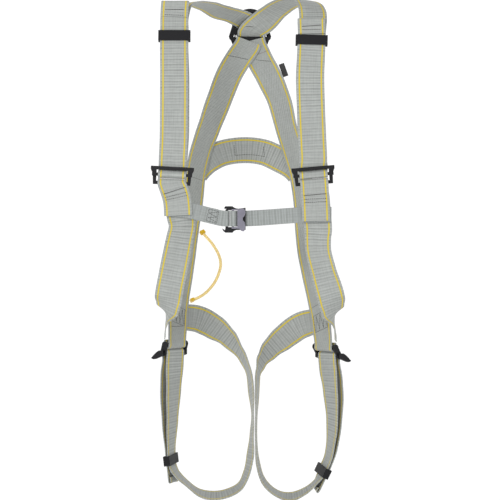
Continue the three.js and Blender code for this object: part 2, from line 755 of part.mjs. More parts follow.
function wing(x) {
  const shape = new THREE.Shape();
  shape.moveTo(-3.5, 4.5);
  shape.lineTo(5, 4);
  shape.quadraticCurveTo(11, 1, WING.reach - 3, -6);
  shape.lineTo(WING.reach, -8.5);
  shape.quadraticCurveTo(WING.reach - 4, -11.5, 12, -10);
  shape.quadraticCurveTo(4, -7, -3.5, -4.5);
  const geometry = new THREE.ExtrudeGeometry(shape, { depth: WING.thickness, bevelEnabled: false, curveSegments: 6 });
  return geometry.rotateX(Math.PI / 2).rotateZ(Math.PI / 2).translate(x, 0, 0);
}

function legTongue() {
  const start = LEG_FRAME.inside + LEG_FRAME.side + 0.5;
  const lower = bar(BAR_RADIUS, 2 * (start + WING.thickness) - 1);
  return joined(lower, wing(start), wing(-start - WING.thickness));
}

for (const side of ["right", "left"]) {
  const { w, upper, lower } = LEG_BUCKLE[side];
  const outward = new THREE.Vector3().crossVectors(Z, w);
  const offset = lower.clone().sub(upper);
  const drop = { y: offset.dot(outward), z: offset.z };
  const place = new THREE.Group();
  place.position.copy(upper);
  place.rotation.z = Math.atan2(w.y, w.x);
  harness.add(place);
  add(`leg_buckle_frame_${side}`, legFrame(drop), "steel", place);
  add(`leg_buckle_tongue_${side}`, legTongue(), "steel", place).position.set(0, drop.y, drop.z);
}

// ---- keepers ------------------------------------------------------------------------
// A band round both layers of a strap: X across the webbing, Y through the layers.
function keeper(inside, depth, height, wall = 1.8) {
  const shape = outline(rectangle(inside + 2 * wall, depth + 2 * wall));
  shape.holes.push(outline(rectangle(inside, depth)));
  const geometry = new THREE.ExtrudeGeometry(shape, { depth: height, bevelEnabled: false });
  return geometry.translate(0, 0, -height / 2);
}

// Each keeper: its middle, the webbing's width direction, and the strap's own direction.
const KEEPERS = {
  shoulder_keeper_right: { height: 17, p: v(-121.6, -93.6, -63), across: X, along: v(0, 0.235, 1) },
  shoulder_keeper_left: { height: 16, p: v(99.1, -93, -70), across: X, along: v(0.03, 0.23, 1) },
  leg_keeper_right: { height: 16, p: v(-130.7, -13.1, -753), across: v(0.24, 0.97, 0), along: v(-0.12, 0, 1) },
  leg_keeper_left: { height: 16, p: v(120.6, -13, -771.9), across: v(0.22, -0.97, -0.1), along: v(0.43, 0, 0.9) },
};
const KEEPER_INSIDE = { width: WEBBING + 3, depth: 7.2 };

for (const [name, { height, p, across, along }] of Object.entries(KEEPERS)) {
  const mesh = add(name, keeper(KEEPER_INSIDE.width, KEEPER_INSIDE.depth, height), "plastic");
  const up = along.clone().normalize();
  const side = across.clone().addScaledVector(up, -across.dot(up)).normalize();
  const through = new THREE.Vector3().crossVectors(up, side);
  mesh.position.copy(p);
  mesh.quaternion.setFromRotationMatrix(new THREE.Matrix4().makeBasis(side, through, up));
}

// ---- gear loop ----------------------------------------------------------------------
const TUBE_RADIUS = 2.5;
const GEAR_ROUTE = [
  v(-78.6, 71.9, -379.9),
  v(-73.4, 69.4, -385.6),
  v(-64, 65, -396.5),
  v(-53, 59.5, -415),
  v(-49.5, 54, -430.5),
  v(-52.5, 48, -446),
  v(-60.5, 42, -463),
  v(-75, 34, -479.5),
  v(-88, 27, -487.5),
  v(-93.5, 24, -489.6),
];

function tube(points, radius) {
  const section = new THREE.Shape().absarc(0, 0, radius, 0, Math.PI * 2, false);
  const path = new THREE.CatmullRomCurve3(points, false, "centripetal");
  return new THREE.ExtrudeGeometry(section, { steps: 36, extrudePath: path, curveSegments: 10 });
}
add("gear_loop", tube(GEAR_ROUTE, TUBE_RADIUS), "tube");

function gearTab(name, from, to, width, thickness) {
  const axis = to.clone().sub(from);
  const box = new THREE.BoxGeometry(thickness, width, axis.length());
  const mesh = add(name, box, "tube");
  mesh.position.copy(from).addScaledVector(axis, 0.5);
  mesh.quaternion.setFromUnitVectors(Z, axis.normalize());
}
gearTab("gear_loop_tab_upper", v(-82.6, 74.6, -374.6), v(-78.8, 72.3, -379.4), 8, 5.5);
gearTab("gear_loop_tab_lower", v(-99.4, 21.5, -492), v(-94, 23.8, -489.8), 8, 5.5);

export default harness;
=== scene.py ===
"""A full-body safety harness hanging by its dorsal ring.

Routes are in millimetres from the body's upright axis, with z = 0 at the ring's bearing point,
as in the CAD. The row frame is the same one moved back by RING_TO_AXIS, in metres.
"""

import math
import random

import bpy
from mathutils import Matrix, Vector, noise


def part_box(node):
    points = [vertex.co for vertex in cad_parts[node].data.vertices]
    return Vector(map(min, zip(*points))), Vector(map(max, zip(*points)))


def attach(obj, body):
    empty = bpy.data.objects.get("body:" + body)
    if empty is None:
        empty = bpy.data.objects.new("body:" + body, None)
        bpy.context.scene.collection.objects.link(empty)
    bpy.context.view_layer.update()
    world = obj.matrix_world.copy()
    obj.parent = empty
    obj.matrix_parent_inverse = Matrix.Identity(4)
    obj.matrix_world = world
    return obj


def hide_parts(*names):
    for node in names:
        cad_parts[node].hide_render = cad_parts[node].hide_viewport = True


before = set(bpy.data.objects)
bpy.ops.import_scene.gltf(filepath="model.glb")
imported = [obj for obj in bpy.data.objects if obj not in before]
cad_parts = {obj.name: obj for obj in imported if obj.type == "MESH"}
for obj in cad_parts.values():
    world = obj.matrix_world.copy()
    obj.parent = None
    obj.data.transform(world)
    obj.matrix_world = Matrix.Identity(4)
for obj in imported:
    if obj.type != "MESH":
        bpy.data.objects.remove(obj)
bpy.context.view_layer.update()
random.seed(7)

MM = 0.001
WEBBING = 45
CHEST_WEBBING = 25
THICK = 1.6
GAP = 0.45
STIFF = 26
RING_TO_AXIS = 111.5
CAMERA_AWAY, CAMERA_HEIGHT = 3, -0.407
RING_BAR_Z = -44
BAR_RADIUS = 3
X = Vector((1, 0, 0))
Z = Vector((0, 0, 1))
FRONT = Vector((0, -1, 0))
VIEWER = FRONT


def row(p):
    """A place measured from the body's axis, in the row frame and in metres."""
    return Vector((p.x, p.y - RING_TO_AXIS, p.z)) * MM


# ---- camera, floor and light --------------------------------------------------------
scene = bpy.context.scene
camera = bpy.data.objects.new("camera", bpy.data.cameras.new("camera"))
scene.collection.objects.link(camera)
camera.data.sensor_width = 36
camera.data.lens = 130.1
camera.data.clip_end = 50
camera.location = (0, -CAMERA_AWAY - RING_TO_AXIS * MM, CAMERA_HEIGHT)
camera.rotation_euler = (math.pi / 2, 0, 0)
scene.camera = camera
scene.view_settings.view_transform = "Standard"


def backdrop():
    """A round floor that curves up into a wall on every side, so any view is against it."""
    floor, reach, bend, top, around = -1.25, 7.5, 2.0, 9.0, 72
    profile = [(reach - bend, floor)]
    for i in range(1, 13):
        a = math.pi / 2 * i / 12
        profile.append((reach - bend + bend * math.sin(a), floor + bend - bend * math.cos(a)))
    profile.append((reach, top))
    verts = [(0, 0, floor)]
    for r, z in profile:
        for k in range(around):
            a = 2 * math.pi * k / around
            verts.append((r * math.cos(a), r * math.sin(a), z))
    faces = [(0, 1 + k, 1 + (k + 1) % around) for k in range(around)]
    for i in range(len(profile) - 1):
        for k in range(around):
            j = (k + 1) % around
            a, b = 1 + i * around, 1 + (i + 1) * around
            faces.append((a + k, b + k, b + j, a + j))
    mesh = bpy.data.meshes.new("backdrop")
    mesh.from_pydata(verts, [], faces)
    for polygon in mesh.polygons:
        polygon.use_smooth = True
    piece = bpy.data.objects.new("backdrop", mesh)
    scene.collection.objects.link(piece)
    return piece


def area_light(name, location, target, size, power):
    data = bpy.data.lights.new(name, "AREA")
    data.size = size
    data.energy = power
    light = bpy.data.objects.new(name, data)
    scene.collection.objects.link(light)
    light.location = location
    light.rotation_euler = (Vector(target) - Vector(location)).to_track_quat("-Z", "Y").to_euler()


middle = (0, -0.1, -0.42)
area_light("key", (-1.0, -2.6, 0.5), middle, 0.9, 28)
area_light("fill", (1.9, -2.2, -0.1), middle, 1.6, 4)
area_light("rim", (0.9, 1.5, 1.1), middle, 1.4, 8)
world = bpy.data.worlds.new("studio")
scene.world = world
world.use_nodes = True
world.node_tree.nodes["Background"].inputs["Color"].default_value = (1, 1, 1, 1)
world.node_tree.nodes["Background"].inputs["Strength"].default_value = 0.16


# ---- materials ----------------------------------------------------------------------
class Nodes:
    """A material being built: its node tree, its shader, and short ways to add nodes."""

    def __init__(self, name):
        self.material = bpy.data.materials.new(name)
        self.material.use_nodes = True
        self.tree = self.material.node_tree
        self.shader = self.tree.nodes["Principled BSDF"]

    def node(self, kind, **settings):
        made = self.tree.nodes.new(kind)
        for key, value in settings.items():
            setattr(made, key, value)
        return made

    def feed(self, socket, value):
        if isinstance(value, bpy.types.NodeSocket):
            self.tree.links.new(value, socket)
        else:
            socket.default_value = value

    def math(self, operation, *values):
        made = self.node("ShaderNodeMath", operation=operation)
        for socket, value in zip(made.inputs, values):
            self.feed(socket, value)
        return made.outputs[0]

    def wave(self, value, pitch):
        """A sine of the value, from 0 to 1."""
        sine = self.math("SINE", self.math("MULTIPLY", value, 2 * math.pi / pitch))
        return self.math("MULTIPLY_ADD", sine, 0.5, 0.5)

    def band(self, value, low, high):
        """1 below low, 0 above high, and smooth between them."""
        made = self.node("ShaderNodeMapRange", interpolation_type="SMOOTHSTEP")
        ends = {"Value": value, "From Min": low, "From Max": high, "To Min": 1.0, "To Max": 0.0}
        for name, setting in ends.items():
            self.feed(made.inputs[name], setting)
        return made.outputs["Result"]

    def mix(self, factor, first, second):
        made = self.node("ShaderNodeMix", data_type="RGBA")
        self.feed(made.inputs[0], factor)
        self.feed(made.inputs[6], first)
        self.feed(made.inputs[7], second)
        return made.outputs[2]

    def noise(self, scale, detail=3.0, vector=None):
        made = self.node("ShaderNodeTexNoise")
        made.inputs["Scale"].default_value = scale
        made.inputs["Detail"].default_value = detail
        if vector is None:
            vector = self.node("ShaderNodeTexCoord").outputs["Object"]
        self.feed(made.inputs["Vector"], vector)
        return made.outputs["Fac"]

    def vector(self, x, y, z=0.0):
        made = self.node("ShaderNodeCombineXYZ")
        for socket, value in zip(made.inputs, (x, y, z)):
            self.feed(socket, value)
        return made.outputs[0]

    def bump(self, height, distance, strength=0.6):
        made = self.node("ShaderNodeBump")
        made.inputs["Strength"].default_value = strength
        made.inputs["Distance"].default_value = distance
        self.feed(made.inputs["Height"], height)
        self.feed(self.shader.inputs["Normal"], made.outputs["Normal"])

    def set(self, **values):
        for name, value in values.items():
            self.feed(self.shader.inputs[name.replace("_", " ").title()], value)


def grey(value, tint=(1.0, 1.0, 1.0)):
    return (*(value * t for t in tint), 1.0)


def webbing_material(name, tint, tracer_at=None, rib=1.5, lay=0.0):
    """Ribbed polyester webbing. UV is in millimetres: across from the middle, and along.

    lay is how far the ribs run on along the webbing for each millimetre across.
    """
    m = Nodes(name)
    uv = m.node("ShaderNodeUVMap", uv_map="weave").outputs[0]
    split = m.node("ShaderNodeSeparateXYZ")
    m.feed(split.inputs[0], uv)
    across, along = split.outputs[0], split.outputs[1]
    soft = m.noise(0.045, 2.0, m.vector(m.math("MULTIPLY", across, 0.4), along))
    slant = m.math("MULTIPLY_ADD", across, lay, along)
    wander = m.math("MULTIPLY_ADD", soft, 2.4, slant)
    ribs = m.wave(wander, rib)
    course = m.wave(wander, 4.6)
    slow = m.wave(wander, 9.3)
    calm = m.band(m.noise(0.011, 1.0, m.vector(0.0, along)), 0.36, 0.62)
    calm = m.math("MULTIPLY_ADD", calm, -0.7, 1.0)
    yarn = m.wave(m.math("MULTIPLY_ADD", ribs, 0.35, across), 1.15)
    streak = m.noise(0.6, 4.0, m.vector(m.math("MULTIPLY", across, 0.12), along))
    stretch = m.noise(0.5, 3.0, m.vector(across, m.math("MULTIPLY", along, 0.05)))
    beat = m.math("MULTIPLY_ADD", course, 0.22, m.math("MULTIPLY", slow, 0.12))
    shade = m.math("MULTIPLY", m.math("SUBTRACT", beat, 0.17), calm)
    shade = m.math("MULTIPLY_ADD", ribs, 0.1, m.math("ADD", shade, 0.24))
    shade = m.math("MULTIPLY_ADD", yarn, 0.08, shade)
    shade = m.math("MULTIPLY_ADD", streak, 0.34, shade)
    shade = m.math("MULTIPLY_ADD", stretch, 0.3, shade)
    colour = m.mix(shade, grey(0.04, tint), grey(0.45, tint))
    edge = m.math("ABSOLUTE", across)
    if tracer_at:
        off = m.math("ABSOLUTE", m.math("SUBTRACT", edge, tracer_at))
        line = m.band(off, 0.95, 1.3)
        twist = m.wave(m.math("ADD", along, m.math("MULTIPLY", across, 1.2)), 1.9)
        yellow = m.mix(twist, (0.46, 0.35, 0.006, 1), (0.68, 0.54, 0.015, 1))
        colour = m.mix(line, colour, yellow)
        gutter = m.band(m.math("ABSOLUTE", m.math("SUBTRACT", off, 1.35)), 0.1, 0.4)
        colour = m.mix(m.math("MULTIPLY", gutter, 0.35), colour, grey(0.12, tint))
    dust = m.noise(38.0, 4.0)
    colour = m.mix(m.math("MULTIPLY", dust, 0.06), colour, grey(0.7, (1.0, 0.98, 0.92)))
    m.set(Base_Color=colour, Roughness=m.math("MULTIPLY_ADD", streak, 0.2, 0.62))
    m.shader.inputs["Sheen Weight"].default_value = 0.12
    m.shader.inputs["Sheen Roughness"].default_value = 0.45
    m.shader.inputs["Specular IOR Level"].default_value = 0.25
    height = m.math("ADD", m.math("MULTIPLY", ribs, 0.7), m.math("MULTIPLY", yarn, 0.35))
    m.bump(m.math("MULTIPLY_ADD", course, 0.3, height), 0.00016, 0.7)
    return m.material


def metal_material(name, colour, edge_wear_and_highlight, metallic, roughness, coat=0.0):
    """Coated metal: fine orange peel, a little dust, and a paler line along the edges that is partly wear
    and partly painted highlight.
    """
    m = Nodes(name)
    cloud = m.noise(55.0, 4.0)
    fine = m.noise(900.0, 2.0)
    soft = m.node("ShaderNodeBevel", samples=6)
    soft.inputs["Radius"].default_value = 0.0007
    geometry = m.node("ShaderNodeNewGeometry")
    turn = m.node("ShaderNodeVectorMath", operation="DOT_PRODUCT")
    m.feed(turn.inputs[0], soft.outputs[0])
    m.feed(turn.inputs[1], geometry.outputs["Normal"])
    # the paler edge line is partly wear and partly a painted highlight on the rounded edges
    edge = m.band(turn.outputs["Value"], 0.86, 0.985)
    edge = m.math("MULTIPLY", edge, m.band(cloud, 0.35, 0.65))
    m.set(Base_Color=m.mix(edge, m.mix(cloud, colour, tuple(c * 1.5 for c in colour[:3]) + (1,)), edge_wear_and_highlight))
    m.set(Roughness=m.math("MULTIPLY_ADD", cloud, 0.22, roughness))
    m.shader.inputs["Metallic"].default_value = metallic
    m.shader.inputs["Specular IOR Level"].default_value = 0.18
    m.shader.inputs["Coat Weight"].default_value = coat
    m.bump(m.math("ADD", fine, m.math("MULTIPLY", cloud, 0.4)), 0.00006, 0.5)
    return m.material


def plastic_material(name, colour, roughness):
    """Moulded plastic with a fine sparked grain and rubbed patches."""
    m = Nodes(name)
    patch = m.noise(30.0, 3.0)
    fine = m.noise(600.0, 3.0)
    m.set(Base_Color=m.mix(patch, colour, tuple(min(1, c * 1.7) for c in colour[:3]) + (1,)))
    m.set(Roughness=m.math("MULTIPLY_ADD", patch, 0.2, roughness))
    m.shader.inputs["Specular IOR Level"].default_value = 0.15
    m.bump(fine, 0.00008, 0.6)
    return m.material


def clear_material(name, colour, transmission, roughness):
    """Clear tinted plastic, slightly cloudy."""
    m = Nodes(name)
    cloud = m.noise(70.0, 3.0)
    m.set(Base_Color=m.mix(cloud, colour, tuple(min(1, c * 1.25) for c in colour[:3]) + (1,)))
    m.set(Roughness=m.math("MULTIPLY_ADD", cloud, 0.12, roughness))
    m.shader.inputs["Transmission Weight"].default_value = transmission
    m.shader.inputs["IOR"].default_value = 1.46
    m.bump(cloud, 0.00002, 0.2)
    return m.material


def thread_material(name, colour):
    """Twisted thread."""
    m = Nodes(name)
    twist = m.noise(2500.0, 2.0)
    m.set(Base_Color=m.mix(twist, colour, tuple(c * 1.9 + 0.01 for c in colour[:3]) + (1,)))
    m.shader.inputs["Roughness"].default_value = 0.6
    m.shader.inputs["Sheen Weight"].default_value = 0.2
    m.bump(twist, 0.0001, 0.6)
    return m.material


GREEN_GREY = (0.95, 1.0, 0.96)
LOOKS = {
    "webbing": webbing_material("webbing_weave", GREEN_GREY, tracer_at=17.6),
    "slanted": webbing_material("webbing_weave_slanted", GREEN_GREY, tracer_at=17.6, lay=1.9),
    "narrow": webbing_material("chest_weave", (0.82, 0.88, 0.86), rib=1.9),
    "label": webbing_material("label_weave", (0.03, 0.03, 0.034), rib=0.8),
    # each metal's second colour is its edge colour: partly wear, partly painted highlight
    "steel": metal_material("black_coat", (0.009, 0.009, 0.01, 1), (0.06, 0.06, 0.065, 1), 0.3, 0.36, 0.08),
    "anodised": metal_material(
        "violet_grey_coat", (0.15, 0.145, 0.175, 1), (0.45, 0.44, 0.48, 1), 0.85, 0.3
    ),
    "plastic": plastic_material("black_moulding", (0.007, 0.007, 0.008, 1), 0.45),
    "yellow": clear_material("yellow_moulding", (0.72, 0.46, 0.02, 1), 0.15, 0.25),
    "tube": clear_material("clear_yellow_tube", (0.88, 0.66, 0.28, 1), 0.6, 0.1),
    "dark_thread": thread_material("dark_thread", (0.014, 0.012, 0.012, 1)),
    "red_thread": thread_material("dark_red_thread", (0.09, 0.012, 0.012, 1)),
}


# ---- routes -------------------------------------------------------------------------
def at(x, y, z, wx=1, wy=0, wz=0):
    """A place on a strap's route: its centre and the direction of its width."""
    return Vector((x, y, z)), Vector((wx, wy, wz)).normalized()


def flat(x, y, z):
    return at(x, y, z, 0, 0, 1)


def turning(centre, w, up, radius, start, stop, count=7):
    """Places round a bar. The angle is measured from up towards w x up."""
    out = w.cross(up).normalized()
    places = []
    for i in range(count):
        a = math.radians(start + (stop - start) * i / (count - 1))
        places.append((centre + up * radius * math.cos(a) + out * radius * math.sin(a), w.copy()))
    return places


ADJUSTER_Y, ADJUSTER_Z = -114, -288.5
ADJUSTER_X = {"right": -124.5, "left": 101.5}
LEAN = {"right": 3, "left": -5}
SLIDE_LIFT, SLIDE_TURN = 1.5, 5.1
FOOT_LIFT, FOOT_TURN = -11.0, 5.4
RING_TURN = 5.3
BAR_TURN = BAR_RADIUS + 2 * GAP + THICK / 2
BAR_SLACK = 1


def adjuster_axes(side):
    a = math.radians(LEAN[side])
    return Vector((math.cos(a), 0, -math.sin(a))), Vector((math.sin(a), 0, math.cos(a)))


def adjuster_turn(side, lift, radius, start, stop, count):
    w, up = adjuster_axes(side)
    centre = Vector((ADJUSTER_X[side], ADJUSTER_Y, ADJUSTER_Z)) + up * lift
    return turning(centre, w, up, radius, start, stop, count)


TAILS = {
    "right": [
        at(-122, -89.7, -31),
        at(-121.2, -85.4, -12),
        at(-120.7, -83.6, -5.5),
        at(-120.7, -81.8, -6),
        at(-121.2, -83.2, -12),
        at(-122, -87.5, -31),
        at(-122, -99.5, -82),
        at(-121.5, -108.6, -130),
        at(-121.5, -112.6, -180),
        at(-122, -112.8, -230),
        at(-123.4, -111.4, -262),
    ],
    "left": [
        at(99.5, -94.2, -59),
        at(99, -89.5, -41),
        at(99, -87.6, -34.5),
        at(99, -85.8, -35),
        at(99, -87.2, -41),
        at(99.5, -92, -59),
        at(98, -100, -94),
        at(96.5, -107, -130),
        at(97.5, -112.2, -180),
        at(99.5, -112.8, -230),
        at(101, -111.4, -262),
    ],
}
LOADS = {
    "right": [
        at(-123.8, -108.9, -276, 1, 0, -0.05),
        at(-122, -109.2, -255),
        at(-119.8, -109.8, -220),
        at(-119.4, -109.6, -180),
        at(-119.6, -105.8, -130),
        at(-121.4, -96.7, -82),
        at(-121.3, -90.2, -55),
        at(-121.2, -84.6, -31),
        at(-115, -66, -12, 0.97, -0.2, 0.1),
        at(-104, -36, -2, 0.9, -0.4, 0.05),
        at(-88, -4, 2, 0.85, -0.5, 0.05),
        at(-68, 30, 1, 0.75, -0.62, 0.15),
        at(-46, 62, -5, 0.6, -0.7, 0.35),
        at(-30, 75, -7.5, 0.6, -0.7, 0.35),
        at(-16, 83.5, -12, 0.7, -0.6, 0.35),
        at(-7, 89.5, -16, 0.85, -0.4, 0.25),
        at(-2.5, 95, -18.8, 0.95, -0.2, 0.1),
        at(-1, 101, -20.8),
        at(-1, 105.4, -24.2),
        at(-1, 106.8, -29.5),
    ],
    "left": [
        at(101.8, -108.9, -276, 1, 0, 0.09),
        at(100, -109.2, -255),
        at(98.6, -109.8, -220),
        at(97.4, -109.2, -180),
        at(96, -104.4, -130),
        at(98, -97.2, -94),
        at(99.6, -89.2, -59),
        at(102, -79, -30),
        at(99, -60, -10, 0.98, 0.15, -0.1),
        at(90, -34, 3, 0.92, 0.38, -0.1),
        at(76, -6, 6, 0.88, 0.46, -0.15),
        at(60, 26, 5, 0.86, 0.46, -0.22),
        at(42, 56, -3, 0.85, 0.4, -0.3),
        at(23, 76, -18, 0.84, 0.2, -0.5),
        at(6, 88, -30, 0.96, 0.05, -0.15),
        at(1, 93.5, -35.4),
        at(1, 99, -39.4),
        at(1, 103, -40.2),
    ],
}
# The sewn ends behind the dorsal plate.
ENDS = {
    "right": [at(-1, 118.6, -52), at(0.5, 118.6, -60), at(5, 118.6, -70), at(12, 118.6, -82)],
    "left": [at(1, 115.9, -52), at(-0.5, 115.9, -60), at(-5, 115.9, -70), at(-12, 115.9, -82)],
}


def under_top_bar(side):
    w, up = adjuster_axes(side)
    places = []
    for y, lift in ((-110.9, 15), (-110.9, 10), (-111.3, 8.2), (-112.5, 7)):
        p = Vector((ADJUSTER_X[side], 0, ADJUSTER_Z)) + up * lift
        places.append((Vector((p.x, y, p.z)), w))
    return places


def shoulder_route(side):
    slide = adjuster_turn(side, SLIDE_LIFT, SLIDE_TURN, 10, 270, 9)
    left = side == "left"
    centre = Vector((1 if left else -1, RING_TO_AXIS, RING_BAR_Z))
    radius = RING_TURN if left else RING_TURN + 2.5
    ring = turning(centre, X, Z, radius, 30, -120 if left else -115, 10)
    return [*TAILS[side], *under_top_bar(side), *slide, *LOADS[side], *ring, *ENDS[side]]


FRONTS = {
    "right": {
        "end": [
            at(-114.5, -120.4, -352),
            at(-115, -120.8, -338),
            at(-117, -119.6, -324),
            at(-120, -117.8, -314),
        ],
        "run": [
            at(-120, -113.2, -312),
            at(-117.5, -115.2, -322),
            at(-114, -115.2, -338),
            at(-110.5, -114.6, -353, 1, 0, 0),
            at(-108.5, -112.6, -368, 0.93, 0.36, 0),
            at(-112, -108, -386, 0.95, 0.3, 0),
            at(-116.5, -104, -408, 0.98, 0.2, 0),
            at(-123, -98, -440, 1, 0, 0),
            at(-130.5, -90, -478, 1, -0.05, 0.05),
            at(-133.5, -76, -500, 0.8, -0.6, 0),
            at(-135, -66, -517, 0.14, -1, 0),
            at(-137, -61, -530, 0.06, -1, 0),
            at(-138, -60, -540, 0.03, -1, 0),
            at(-138.4, -60, -550, 0.03, -1, 0),
        ],
    },
    "left": {
        "end": [
            at(105.5, -120.4, -361),
            at(105, -120.8, -345),
            at(104.4, -119.6, -327),
            at(103.4, -117.8, -315),
        ],
        "run": [
            at(103, -113.2, -312),
            at(104.5, -115.2, -322),
            at(106, -115.2, -340),
            at(107.6, -114.8, -358, 1, 0, 0),
            at(109, -111.8, -374, 0.98, -0.18, 0),
            at(108.5, -108, -388, 0.92, -0.38, 0),
            at(109.5, -104, -408, 0.9, -0.42, 0),
            at(117.5, -98, -440, 0.92, -0.38, 0),
            at(130, -90, -482, 0.97, 0, 0.1),
            at(134.5, -76, -504, 0.8, 0.6, 0),
            at(136, -66, -521, 0.14, 1, 0),
            at(138, -61, -534, 0.03, 1, 0),
            at(139, -60, -544, 0, 1, 0),
            at(139.4, -60, -554.5, 0, 1, 0),
        ],
    },
}


def front_route(side):
    turn = adjuster_turn(side, FOOT_LIFT, FOOT_TURN, 90, -90, 7)
    return [*FRONTS[side]["end"], *turn, *FRONTS[side]["run"]]


LEG_BUCKLE = {
    "right": (Vector((0.6, 0.8, 0)), Vector((-123.3, -24.1, -562)), Vector((-126.5, -21.7, -575.5))),
    "left": (Vector((0.6, -0.8, 0)), Vector((124, -24.1, -567)), Vector((130.4, -19.3, -580.5))),
}
BACKS = {
    "right": [
        at(-2.2, 97.3, -48.2),
        at(-2.6, 97.3, -52),
        at(-5.2, 97.2, -58),
        at(-11, 97.2, -66.5),
        at(-21, 97.2, -81, 1, 0.03, 0),
        at(-36, 98, -107, 1, 0.1, 0),
        at(-53, 99.6, -150, 1, 0.3, 0),
        at(-71, 99, -199, 1, 0.6, 0),
        at(-84, 96.5, -236, 1, 0.8, 0),
        at(-92.5, 90, -274, 1, 0.9, 0),
        at(-97, 80, -322, 1, 0.95, 0),
        at(-103, 66, -359, 1, 0.85, 0),
        at(-109, 47, -407, 1, 0.85, 0),
        at(-113, 30, -440, 1, 0.9, 0),
        at(-117.5, 6, -482, 1, 1.1, 0),
        at(-119.2, -10, -515, 1, 1.25, 0),
        at(-119.5, -22, -540, 0.6, 0.8, 0),
        at(-119.7, -26.5, -556, 0.6, 0.8, 0),
    ],
    "left": [
        at(4.2, 99.9, -47),
        at(4.4, 99.9, -51),
        at(6.5, 99.9, -58),
        at(11, 99.9, -68),
        at(18.5, 100, -84, 1, -0.03, 0),
        at(31, 100, -107, 1, -0.15, 0),
        at(50, 100, -150, 1, -0.5, 0),
        at(62.5, 99, -199, 1, -0.7, 0),
        at(74, 96.5, -236, 1, -0.7, 0),
        at(85, 90, -274, 1, -0.75, 0),
        at(92, 79, -326, 1, -0.85, 0),
        at(94, 66, -364, 1, -0.87, 0),
        at(98, 47, -407, 1, -0.88, 0),
        at(104, 30, -440, 1, -0.9, 0),
        at(112, 6, -486, 1, -1.1, 0),
        at(117, -10, -519, 1, -1.25, 0),
        at(119.4, -22, -545, 0.6, -0.8, 0),
        at(120.5, -26.4, -561, 0.6, -0.8, 0),
    ],
}


def back_route(side):
    w, upper, _ = LEG_BUCKLE[side]
    turn = turning(upper - Z * BAR_SLACK, w, Z, BAR_TURN, 90, 270)
    end, across = turn[-1]
    sewn = [(end + Z * rise, across) for rise in (4, 9)]
    return [*BACKS[side], *turn, *sewn]


